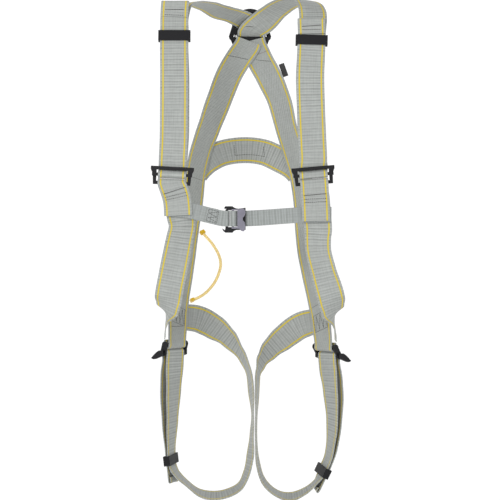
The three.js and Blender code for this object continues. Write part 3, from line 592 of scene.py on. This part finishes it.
CROSS = [
    at(-90, 105, -272, 0, 0, 1),
    at(-80, 110, -260, 0, 0, 1),
    at(-66, 115.5, -249, 0, 0, 1),
    at(-46, 119.5, -239.5, 0, 0, 1),
    at(-10, 122, -234.5, 0, 0, 1),
    at(24, 121, -238.5, 0, 0, 1),
    at(50, 116.5, -250.5, 0, 0, 1),
    at(70, 109, -262, 0, 0, 1),
    at(80, 104, -272, 0, 0, 1),
]
LEGS = {
    "right": {
        # from the hip under the seat, down inside the thigh, round below and up outside it
        "load": [
            at(-131, -18, -515, 0.05, 0.45, 0.9),
            at(-123, -7.5, -516.5, 0.05, 0.45, 0.9),
            at(-108.5, 11, -519, 0.1, 0.4, 0.9),
            at(-86, 29, -523, 0.2, 0, 1),
            at(-62, 40, -536, 0.3, -0.3, 0.85),
            at(-37, 42, -555, 0.35, -0.65, 0.65),
            at(-15, 33, -582, 0.25, -0.9, 0.3),
            at(-3, 20, -608, 0.2, -1, 0.1),
            at(1.8, 9, -640, 0.22, -1, 0),
            at(4.4, 2, -682, 0.07, -1, 0),
            at(2.9, -3, -713, 0.13, -1, 0),
            at(0.5, -6, -747, 0.25, -1, -0.03),
            at(-5.5, -8, -776, 0.2, -1, -0.1),
            at(-16, -10, -797, 0.12, -1, -0.15),
            at(-34, -12, -808, 0.06, -1, -0.2),
            at(-60, -13, -813, 0, -0.97, -0.2),
            at(-84, -13.5, -808, 0.1, -0.97, -0.2),
            at(-106, -13.5, -791, 0.1, -0.97, -0.2),
            at(-119, -13.5, -779, -0.1, -0.98, -0.1),
            at(-126.4, -13.5, -767, -0.2, -0.97, -0.05),
            at(-129.4, -13.4, -752, -0.24, -0.97, 0),
            at(-130, -14, -735, -0.26, -0.97, 0),
            at(-128, -17, -690, -0.37, -0.93, 0),
            at(-125.6, -21, -637, -0.5, -0.87, 0),
            at(-123.9, -24, -600, -0.6, -0.8, 0),
            at(-123.2, -24.3, -585, -0.6, -0.8, 0),
        ],
        # the free tail, down outside the load side to the folded end
        "tail": [
            at(-130.2, -18.9, -587, -0.6, -0.8, 0),
            at(-133, -16, -604, -0.58, -0.81, 0),
            at(-136, -15.5, -637, -0.5, -0.87, 0),
            at(-136, -13, -690, -0.37, -0.93, 0),
            at(-133.6, -13, -735, -0.26, -0.97, 0),
            at(-132.2, -12.8, -752, -0.24, -0.97, 0),
            at(-130.2, -12.4, -770, -0.24, -0.97, 0),
            at(-127.6, -10, -790, -0.24, -0.97, 0.05),
            at(-126.2, -9.8, -790.5, -0.24, -0.97, 0.05),
            at(-125.4, -10.4, -787, -0.24, -0.97, 0.05),
            at(-126, -10.8, -781, -0.24, -0.97, 0.05),
        ],
    },
    "left": {
        "load": [
            at(129.6, -18, -520, -0.05, 0.45, 0.9),
            at(121.6, -7.5, -522, -0.05, 0.45, 0.9),
            at(106.5, 10, -526.5, -0.1, 0.4, 0.9),
            at(84, 25, -534, -0.25, 0, 1),
            at(57, 36, -554, -0.4, -0.3, 0.85),
            at(34, 36, -574, -0.45, -0.6, 0.6),
            at(19.5, 30, -593, -0.35, -0.85, 0.3),
            at(13.6, 22, -612, -0.18, -1, 0.1),
            at(11.8, 9, -648, -0.14, -1, 0),
            at(10.4, 2, -688, -0.06, -1, 0),
            at(10.4, -4, -726, -0.06, -1, 0),
            at(13.5, -8, -762, -0.12, -1, -0.03),
            at(23, -10, -790, -0.1, -1, -0.1),
            at(42, -12, -808, -0.05, -1, -0.12),
            at(66, -13, -815, 0, -0.97, -0.2),
            at(90, -13.5, -806, -0.1, -0.97, -0.2),
            at(107, -13.4, -792, -0.05, -0.97, -0.15),
            at(116, -13.4, -779.5, 0.15, -0.98, -0.08),
            at(121.8, -13.4, -767.5, 0.22, -0.97, -0.1),
            at(128.4, -13.7, -752, 0.23, -0.97, -0.05),
            at(132.4, -14, -733, 0.26, -0.97, 0),
            at(135.4, -17, -690, 0.37, -0.93, 0),
            at(132.4, -20, -640, 0.5, -0.87, 0),
            at(128.6, -22, -606, 0.6, -0.8, 0),
            at(127.2, -21.9, -590, 0.6, -0.8, 0),
        ],
        "tail": [
            at(134, -16.6, -592, 0.6, -0.8, 0),
            at(137.6, -14.5, -609, 0.58, -0.81, 0),
            at(142.2, -14, -642, 0.5, -0.87, 0),
            at(142.4, -13, -690, 0.37, -0.93, 0),
            at(137, -12.8, -735, 0.28, -0.97, 0),
            at(131.6, -12.8, -753.4, 0.23, -0.97, -0.05),
            at(124.6, -12.7, -769, 0.22, -0.97, -0.1),
            at(118.8, -12.4, -781, 0.22, -0.97, -0.1),
            at(109.4, -10.6, -803, 0.12, -0.97, -0.1),
            at(107.6, -10.4, -802.6, 0.12, -0.97, -0.1),
            at(107.6, -10.6, -799.5, 0.12, -0.97, -0.1),
            at(109.2, -10.8, -796.5, 0.12, -0.97, -0.1),
        ],
    },
}


def leg_route(side):
    w, _, lower = LEG_BUCKLE[side]
    along = -w if side == "right" else w
    inner = -90 if side == "right" else 90
    turn = turning(lower + Z * BAR_SLACK, along, Z, BAR_TURN, inner, -inner, 7)
    return [*LEGS[side]["load"], *turn, *LEGS[side]["tail"]]


CHEST_Y, CHEST_HOOK, CHEST_TONGUE, TONGUE_Y = -116.5, -37, -27.3, -120.2
CHEST_TURN = 3.9
CHEST_RIGHT = [
    flat(-132, -118, -341),
    flat(-112, -118, -342),
    flat(-90, -118, -345.5),
    flat(-64, -118.8, -352),
    flat(-46, -120, -356.2),
    *turning(Vector((CHEST_HOOK, CHEST_Y, -356.9)), Z, FRONT, CHEST_TURN, -20, 200, 7),
    flat(-46, -113.2, -356.2),
    flat(-58, -115.9, -353.2),
    flat(-72, -116, -350.2),
]
CHEST_LEFT = [
    flat(130, -118.3, -350.5),
    flat(108, -118.2, -350.5),
    flat(84, -117.4, -351),
    flat(58, -116, -352.6),
    flat(30, -114.6, -354.6),
    flat(2, -113.6, -356.2),
    flat(-11, -113.5, -356.8),
    flat(-17.4, -114.8, -357),
    flat(-21.4, -118.6, -357),
    *turning(Vector((CHEST_TONGUE, TONGUE_Y, -357)), Z, FRONT, CHEST_TURN, 50, -170, 8),
    flat(-23.4, -113.9, -357),
    flat(-16.5, -111.6, -357),
    flat(-8, -111.3, -356.8),
    flat(14, -111.8, -355.8),
    flat(36, -112.6, -354.2),
]


# ---- webbing ------------------------------------------------------------------------
def catmull_rom(points, i, t):
    """Point and direction at t along span i of a centripetal Catmull-Rom curve."""
    p1, p2 = points[i], points[i + 1]
    p0 = points[i - 1] if i > 0 else 2 * p1 - p2
    p3 = points[i + 2] if i + 2 < len(points) else 2 * p2 - p1
    d0, d1, d2 = (math.sqrt((b - a).length) for a, b in ((p0, p1), (p1, p2), (p2, p3)))
    d1 = d1 if d1 > 1e-4 else 1.0
    d0 = d0 if d0 > 1e-4 else d1
    d2 = d2 if d2 > 1e-4 else d1
    t1 = ((p1 - p0) / d0 - (p2 - p0) / (d0 + d1) + (p2 - p1) / d1) * d1
    t2 = ((p2 - p1) / d1 - (p3 - p1) / (d1 + d2) + (p3 - p2) / d2) * d1
    c2 = -3 * p1 + 3 * p2 - 2 * t1 - t2
    c3 = 2 * p1 - 2 * p2 + t1 + t2
    point = p1 + t1 * t + c2 * t * t + c3 * t * t * t
    return point, (t1 + 2 * c2 * t + 3 * c3 * t * t).normalized()


class Strap:
    """A length of webbing: its stations, and places on its surface."""

    def __init__(self, name, route, width=WEBBING, thick=THICK, per_span=9):
        self.name, self.width, self.thick = name, width, thick
        points = [p for p, _ in route]
        spans = len(route) - 1
        raw = []
        for step in range(spans * per_span + 1):
            i = min(step // per_span, spans - 1)
            t = step / per_span - i
            point, tangent = catmull_rom(points, i, t)
            blend = t * t * (3 - 2 * t)
            across = route[i][1].lerp(route[i + 1][1], blend).normalized()
            run = raw[-1][3] + (point - raw[-1][0]).length if raw else 0.0
            raw.append((point, tangent, across, run, across.dot(tangent)))
        self.stations = []
        for point, tangent, across, run, _ in raw:
            total = weight_sum = 0.0
            for a, b in zip(raw, raw[1:]):
                weight = max(0.0, 1 - abs((a[3] + b[3]) / 2 - run) / STIFF) * (b[3] - a[3])
                total += weight * (a[4] + b[4]) / 2
                weight_sum += weight
            w = (across - tangent * (total / weight_sum)).normalized()
            self.stations.append((point, w, tangent.cross(w).normalized(), run))
        self.length = raw[-1][3]

    def place(self, run, across, lift=0.0):
        """A point on the middle surface, lifted along the normal, and that normal."""
        s = self.stations
        low, high = 0, len(s) - 1
        while high - low > 1:
            half = (low + high) // 2
            if s[half][3] <= run:
                low = half
            else:
                high = half
        a, b = s[low], s[high]
        t = (run - a[3]) / max(b[3] - a[3], 1e-6)
        normal = a[2].lerp(b[2], t).normalized()
        return a[0].lerp(b[0], t) + a[1].lerp(b[1], t) * across + normal * lift, normal

    def locate(self, x, z):
        """(run, across) of the surface seen from the front at x and z, on the nearest layer."""
        found = []
        for point, w, _, run in self.stations:
            dx, dz = x - point.x, z - point.z
            size = w.x * w.x + w.z * w.z
            if size < 0.05:
                continue
            u = (dx * w.x + dz * w.z) / size
            miss = math.hypot(dx - u * w.x, dz - u * w.z)
            if abs(u) < self.width / 2 + 1 and miss < 2.0:
                found.append((point.y + u * w.y + 4 * miss, run, u))
        if not found:
            raise ValueError(f"{self.name} has no surface at {x}, {z}")
        _, run, u = min(found)
        return run, u


def new_piece(name, verts, faces, material, body="harness"):
    """A smooth-shaded mesh in one material, riding on a body."""
    mesh = bpy.data.meshes.new(name)
    mesh.from_pydata([tuple(v) for v in verts], [], faces)
    mesh.materials.append(material)
    for polygon in mesh.polygons:
        polygon.use_smooth = True
    piece = bpy.data.objects.new(name, mesh)
    scene.collection.objects.link(piece)
    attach(piece, body)
    return piece


def section(width, thick, columns=14, corner=5):
    """The outline of webbing seen end on, with rounded woven edges: (across, through)."""
    half, r = width / 2, thick / 2
    flat_part = [-half + r + (width - 2 * r) * i / columns for i in range(columns + 1)]
    outline = [(x, r) for x in flat_part]
    outline += [
        (half - r + r * math.sin(math.pi * k / corner), r * math.cos(math.pi * k / corner))
        for k in range(1, corner)
    ]
    outline += [(x, -r) for x in reversed(flat_part)]
    outline += [
        (-half + r - r * math.sin(math.pi * k / corner), -r * math.cos(math.pi * k / corner))
        for k in range(1, corner)
    ]
    return outline


def weave(strap, material, replaced):
    """The strap's mesh, with slight ripples, and its UV in millimetres."""
    ring = section(strap.width, strap.thick)
    n = len(ring)
    verts, uvs = [], []
    for point, w, normal, run in strap.stations:
        for x, y in ring:
            ripple = noise.noise(Vector((x * 0.04, run * 0.045, strap.length))) * 0.16
            verts.append(row(point + w * x + normal * (y + ripple)))
            uvs.append((x, run))
    faces = []
    for k in range(len(strap.stations) - 1):
        for i in range(n):
            j = (i + 1) % n
            faces.append((k * n + i, k * n + j, (k + 1) * n + j, (k + 1) * n + i))
    last = (len(strap.stations) - 1) * n
    faces.append(tuple(reversed(range(n))))
    faces.append(tuple(range(last, last + n)))
    piece = new_piece(f"{strap.name}_woven", verts, faces, material)
    layer = piece.data.uv_layers.new(name="weave")
    for loop in piece.data.loops:
        layer.data[loop.index].uv = uvs[loop.vertex_index]
    for polygon in piece.data.polygons[-2:]:
        polygon.use_smooth = False
    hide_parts(replaced)
    return piece


STRAPS = {}
for side in ("right", "left"):
    STRAPS[f"shoulder_strap_{side}"] = Strap(f"shoulder_strap_{side}", shoulder_route(side))
    STRAPS[f"front_strap_{side}"] = Strap(f"front_strap_{side}", front_route(side))
    STRAPS[f"back_strap_{side}"] = Strap(f"back_strap_{side}", back_route(side))
    STRAPS[f"leg_strap_{side}"] = Strap(f"leg_strap_{side}", leg_route(side))
STRAPS["back_cross_strap"] = Strap("back_cross_strap", CROSS)
STRAPS["chest_strap_right"] = Strap("chest_strap_right", CHEST_RIGHT, CHEST_WEBBING, 1.5)
STRAPS["chest_strap_left"] = Strap("chest_strap_left", CHEST_LEFT, CHEST_WEBBING, 1.5)
for name, strap in STRAPS.items():
    look = "slanted" if name.startswith("back_strap") else "webbing"
    look = "narrow" if name.startswith("chest") else look
    piece = weave(strap, LOOKS[look], name)


# ---- stitching ----------------------------------------------------------------------
class Seams:
    """All the stitches on one strap, as short threads that dip in at both ends."""

    def __init__(self, strap, thread="dark_thread"):
        self.strap, self.thread = STRAPS[strap], thread
        self.verts, self.faces = [], []

    def stitch(self, start, stop, radius):
        tops = []
        for i in range(5):
            t = i / 4
            run = start[0] + (stop[0] - start[0]) * t
            across = start[1] + (stop[1] - start[1]) * t
            _, normal = self.strap.place(run, across)
            side = 1 if normal.dot(VIEWER) > 0 else -1
            lift = side * (self.strap.thick / 2 + radius * (0.75 * math.sin(math.pi * t) - 0.15))
            point, normal = self.strap.place(run, across, lift)
            tops.append((point, normal * side))
        base = len(self.verts)
        for i, (point, normal) in enumerate(tops):
            ahead = (tops[min(i + 1, 4)][0] - tops[max(i - 1, 0)][0]).normalized()
            aside = ahead.cross(normal).normalized()
            size = radius * (0.55 if i in (0, 4) else 1.0)
            for k in range(6):
                a = math.pi * k / 3
                out = aside * size * math.cos(a) + normal * size * 0.8 * math.sin(a)
                self.verts.append(row(point + out))
        for i in range(4):
            for k in range(6):
                j = (k + 1) % 6
                a, b = base + 6 * i, base + 6 * (i + 1)
                self.faces.append((a + k, a + j, b + j, b + k))
        self.faces.append(tuple(base + k for k in reversed(range(6))))
        self.faces.append(tuple(base + 24 + k for k in range(6)))

    def seam(self, corners, pitch=3.0, fill=0.74, radius=0.45):
        """Stitches along a line through (run, across) corners."""
        for a, b in zip(corners, corners[1:]):
            length = math.hypot(b[0] - a[0], b[1] - a[1])
            count = max(1, round(length / pitch))
            for i in range(count):
                s, e = i / count, (i + fill) / count
                jitter = random.uniform(-0.12, 0.12)
                start = (a[0] + (b[0] - a[0]) * s + jitter, a[1] + (b[1] - a[1]) * s)
                stop = (a[0] + (b[0] - a[0]) * e + jitter, a[1] + (b[1] - a[1]) * e)
                self.stitch(start, stop, radius)

    def across(self, x, z, half, dense=False):
        """A row straight across the webbing at the place seen at x and z."""
        run, _ = self.strap.locate(x, z)
        if dense:
            self.seam([(run - 0.8, -half), (run + 0.8, half)], pitch=1.5, fill=0.9, radius=0.6)
        else:
            self.seam([(run, -half), (run, half)])

    def line(self, *places, **options):
        """A seam through places seen at (x, z)."""
        self.seam([self.strap.locate(x, z) for x, z in places], **options)

    def box(self, run, centre, length, half, waves=3):
        """A sewn rectangle with a zigzag inside it."""
        a, b = run - length / 2, run + length / 2
        near, far = centre - half, centre + half
        self.seam([(a, near), (a, far), (b, far), (b, near), (a, near)])
        if waves:
            zig = []
            for i in range(2 * waves + 1):
                zig.append((a + 2 if i % 2 else b - 2, near + 2 + (far - near - 4) * i / (2 * waves)))
            self.seam(zig)

    def finish(self, name):
        return new_piece(name, self.verts, self.faces, LOOKS[self.thread])


for side, x, tail, wrap in (
    ("right", -121, (-20, -28), (-311, -319, -324)),
    ("left", 99, (-46, -52), (-318.5, -325, -330.5)),
):
    seams = Seams(f"shoulder_strap_{side}")
    for z in tail:
        seams.across(x, z, 15, dense=z == tail[0])
    if side == "left":
        seams.line((-7.5, -25.1), (6.3, -25.1), pitch=1.6, fill=0.9)
    seams.finish(f"stitches_shoulder_{side}")
    seams = Seams(f"front_strap_{side}")
    for i, z in enumerate(wrap):
        seams.across(-118 if side == "right" else 104, z, 18, dense=i == 0)
    seams.finish(f"stitches_front_{side}")

seams = Seams("back_strap_right")
seams.line((-38, -74.2), (-3, -80.8))
seams.line((-100, -284), (-81.5, -287.2), pitch=2.4, fill=0.5)
run, _ = seams.strap.locate(-121, -515)
seams.box(run, 0, 30, 15)
seams.line((-129, -532.2), (-111.4, -532.2), pitch=2.2, fill=0.5)
seams.finish("stitches_back_right")
seams = Seams("back_strap_left", "red_thread")
seams.line((8, -74), (31, -65), pitch=2.6, fill=0.6)
seams.finish("stitches_back_left_red")
seams = Seams("back_strap_left")
seams.line((11, -81.2), (37, -83.6))
run, _ = seams.strap.locate(117, -524)
seams.box(run, 0, 30, 16)
run, _ = seams.strap.locate(109, -500.4)
seams.seam([(run, -16), (run, 4)], pitch=2.2, fill=0.5)
seams.finish("stitches_back_left")
seams = Seams("back_cross_strap")
seams.line((-26, -226), (-26, -244), (24, -246), (24, -228), pitch=3.2)
seams.finish("stitches_cross")
seams = Seams("chest_strap_right")
run, _ = seams.strap.locate(-59.5, -353)
seams.box(run, 0, 17, 9.5, waves=2)
seams.finish("stitches_chest_right")
seams = Seams("chest_strap_left")
run, _ = seams.strap.locate(26, -355)
seams.box(run, 0, 17, 9.5, waves=2)
seams.finish("stitches_chest_left")


# ---- hardware -----------------------------------------------------------------------
def dress(node, look, bevel=0.0004, segments=3):
    """A CAD part in its own material, with small rounded edges."""
    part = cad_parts[node]
    part.data.materials.clear()
    part.data.materials.append(LOOKS[look])
    modifier = part.modifiers.new("edges", "BEVEL")
    modifier.width = bevel
    modifier.segments = segments
    modifier.limit_method = "ANGLE"
    modifier.angle_limit = math.radians(35)
    modifier.harden_normals = False


for side in ("right", "left"):
    dress(f"shoulder_buckle_{side}", "steel", 0.0006)
    dress(f"slide_bar_{side}", "steel", 0.0006)
    dress(f"leg_buckle_frame_{side}", "steel", 0.0005)
    dress(f"leg_buckle_tongue_{side}", "steel", 0.0007)
    dress(f"shoulder_keeper_{side}", "plastic", 0.0008)
    dress(f"leg_keeper_{side}", "plastic", 0.0008)
dress("dorsal_plate", "plastic", 0.0007)
dress("chest_buckle_frame", "steel", 0.0005)
dress("chest_buckle_tongue", "anodised", 0.0005)
dress("gear_loop_tab_upper", "yellow", 0.0012)
dress("gear_loop_tab_lower", "yellow", 0.0012)
dress("label_tab", "label", 0.0003)


RING_RADIUS, RING_WIDTH, RING_CORNER = 0.031, 0.0085, 0.004
RING_ROUND = 20


def ring_outline(low, high):
    """(x, z, share of the full width) round the middle of the ring's section."""
    depth = high.y - low.y
    bow = -(RING_RADIUS - RING_WIDTH)
    foot = high.x - RING_WIDTH / 2
    bar = low.z + depth / 2
    mid = RING_RADIUS - RING_WIDTH / 2
    shoulder = bar + RING_CORNER
    start = foot - RING_CORNER

    def corner(side, degrees):
        a = math.radians(degrees)
        return side * (start + RING_CORNER * math.sin(a)), shoulder - RING_CORNER * math.cos(a), 0.86

    def flank(side, t):
        return side * (foot + (mid - foot) * t), shoulder + (bow - shoulder) * t, 0.9 + 0.1 * t

    path = [(-start + 2 * start * i / 20, bar, 0.75) for i in range(21)]
    path += [corner(1, degrees) for degrees in (30, 60)]
    path += [flank(1, t) for t in (0, 0.25, 0.5, 0.75)]
    for i in range(49):
        a = math.pi * i / 48
        path.append((mid * math.cos(a), bow + mid * math.sin(a), 1.0))
    path += [flank(-1, 1 - t) for t in (0.25, 0.5, 0.75, 1)]
    path += [corner(-1, degrees) for degrees in (60, 30)]
    return path


def dorsal_ring():
    """The forged D-ring: a rounded section swept round its outline."""
    low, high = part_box("dorsal_ring")
    depth = high.y - low.y
    path = ring_outline(low, high)
    verts, faces, count = [], [], len(path)
    for i, (x, z, share) in enumerate(path):
        before, after = path[i - 1], path[(i + 1) % count]
        ahead = Vector((after[0] - before[0], 0, after[1] - before[1])).normalized()
        out = Vector((ahead.z, 0, -ahead.x))
        for k in range(RING_ROUND):
            a = 2 * math.pi * k / RING_ROUND
            c, s = math.cos(a), math.sin(a)
            across = math.copysign(abs(c) ** 0.7, c) * RING_WIDTH / 2 * share
            through = math.copysign(abs(s) ** 0.7, s) * depth / 2 * 0.99
            verts.append(Vector((x, 0, z)) + out * across + Vector((0, through, 0)))
    for i in range(count):
        a, b = i * RING_ROUND, (i + 1) % count * RING_ROUND
        for k in range(RING_ROUND):
            j = (k + 1) % RING_ROUND
            faces.append((a + k, b + k, b + j, a + j))
    piece = new_piece("dorsal_ring_forged", verts, faces, LOOKS["steel"], "ring")
    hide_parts("dorsal_ring")


dorsal_ring()

# ---- gear loop ----------------------------------------------------------------------
GEAR_ROUTE = [
    Vector((-78.6, 71.9, -379.9)),
    Vector((-73.4, 69.4, -385.6)),
    Vector((-64, 65, -396.5)),
    Vector((-53, 59.5, -415)),
    Vector((-49.5, 54, -430.5)),
    Vector((-52.5, 48, -446)),
    Vector((-60.5, 42, -463)),
    Vector((-75, 34, -479.5)),
    Vector((-88, 27, -487.5)),
    Vector((-93.5, 24, -489.6)),
]


TUBE = 0.005


def gear_tube():
    """The clear tube, along the gear loop's route."""
    points = []
    for i in range(len(GEAR_ROUTE) - 1):
        points += [catmull_rom(GEAR_ROUTE, i, t / 4)[0] for t in range(4)]
    points.append(GEAR_ROUTE[-1])
    points = [row(p) for p in points]
    curve = bpy.data.curves.new("gear_loop_tube", "CURVE")
    curve.dimensions = "3D"
    curve.bevel_depth = TUBE / 2
    curve.bevel_resolution = 5
    curve.use_fill_caps = True
    spline = curve.splines.new("POLY")
    spline.points.add(len(points) - 1)
    for target, p in zip(spline.points, points):
        target.co = (*p, 1)
    spline.use_smooth = True
    curve.materials.append(LOOKS["tube"])
    piece = bpy.data.objects.new("gear_loop_tube", curve)
    scene.collection.objects.link(piece)
    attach(piece, "gear_loop")
    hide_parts("gear_loop")


gear_tube()

# ---- backdrop -----------------------------------------------------------------------
sweep = backdrop()
paper = Nodes("backdrop_paper")
tone = paper.mix(paper.noise(3.0), (0.34, 0.34, 0.34, 1), (0.37, 0.37, 0.37, 1))
paper.set(Base_Color=tone, Roughness=0.9)
paper.shader.inputs["Emission Color"].default_value = (1, 1, 1, 1)
paper.shader.inputs["Emission Strength"].default_value = 0.74
sweep.data.materials.append(paper.material)
